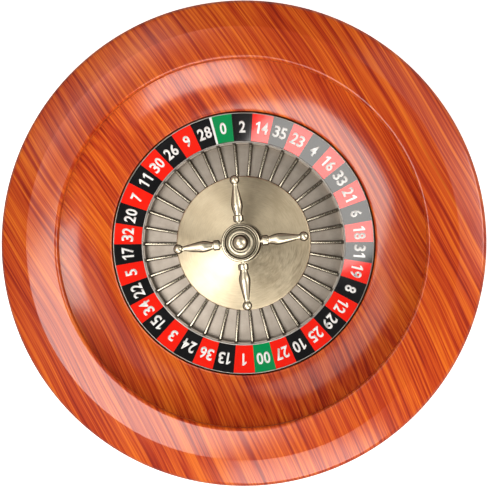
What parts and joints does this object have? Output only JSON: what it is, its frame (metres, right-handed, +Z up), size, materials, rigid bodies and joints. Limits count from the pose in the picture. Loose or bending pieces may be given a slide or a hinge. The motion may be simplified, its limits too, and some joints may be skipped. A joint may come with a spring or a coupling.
{
  "type": "roulette wheel",
  "caption": "Wooden roulette wheel: a lacquered bowl with a ball track, and a free-turning numbered rotor with pockets, brass cone and cross turret.",
  "frame": {"origin": "on the table surface, in the middle of the four feet and under the spindle", "axes": "+Z up along the spindle; +X to the right and +Y away from the viewer, with the zero pocket 10 degrees to the left of +Y"},
  "size_m": [0.4998, 0.4998, 0.1067],
  "materials": {
    "lacquered_wood": "gloss lacquer",
    "board": "stained matt",
    "foot_rubber": "matt",
    "zinc_steel": "zinc plated",
    "bearing_steel": "ground and polished",
    "hub_alloy": "turned",
    "bright_trim": "bright",
    "printed_ring": "gloss",
    "pocket_metal": "antique satin",
    "antique_brass": "brushed antique"
  },
  "bodies": {
    "bowl": {"rim_ring": "lacquered_wood", "ball_track": "lacquered_wood", "base_board": "board", "rim_screws": "zinc_steel", "track_screws": "zinc_steel", "foot_screws": "zinc_steel", "foot_1": "foot_rubber", "foot_2": "foot_rubber", "foot_3": "foot_rubber", "foot_4": "foot_rubber", "spindle_flange": "zinc_steel", "flange_screws": "zinc_steel", "spindle": "zinc_steel", "spindle_washer": "zinc_steel", "spindle_nut": "zinc_steel", "spindle_top_nut": "zinc_steel", "bearing_spacer": "zinc_steel", "lower_inner_race": "bearing_steel", "upper_inner_race": "bearing_steel"},
    "rotor": {"carrier_ring": "board", "carrier_screws": "zinc_steel", "cone": "antique_brass", "finial": "antique_brass", "frets": "pocket_metal", "hub": "hub_alloy", "hub_circlip": "zinc_steel", "hub_screws": "zinc_steel", "inner_bezel": "bright_trim", "lower_outer_race": "bearing_steel", "number_ring": "printed_ring", "pocket_floor": "pocket_metal", "pocket_wall": "pocket_metal", "rotor_band": "bright_trim", "rotor_plate": "board", "turret_arm_1": "antique_brass", "turret_arm_2": "antique_brass", "turret_arm_3": "antique_brass", "turret_arm_4": "antique_brass", "turret_boss": "antique_brass", "turret_cap": "antique_brass", "turret_column": "antique_brass", "turret_stud": "zinc_steel", "upper_outer_race": "bearing_steel"},
    "lower_cage": {"lower_cage": "zinc_steel", "lower_balls": "bearing_steel"},
    "upper_cage": {"upper_cage": "zinc_steel", "upper_balls": "bearing_steel"}
  },
  "joints": [
    {"name": "rotor_spin", "type": "hinge", "parent": "bowl", "child": "rotor", "pos_m": [0, 0, 0.0365], "axis": [0, 0, 1], "continuous": true},
    {"name": "lower_cage_spin", "type": "hinge", "parent": "bowl", "child": "lower_cage", "pos_m": [0, 0, 0.0285], "axis": [0, 0, 1], "continuous": true},
    {"name": "upper_cage_spin", "type": "hinge", "parent": "bowl", "child": "upper_cage", "pos_m": [0, 0, 0.0445], "axis": [0, 0, 1], "continuous": true}
  ],
  "couplings": [
    {"joint": "lower_cage_spin", "follows": "rotor_spin", "ratio": 0.6278},
    {"joint": "upper_cage_spin", "follows": "rotor_spin", "ratio": 0.6278}
  ]
}
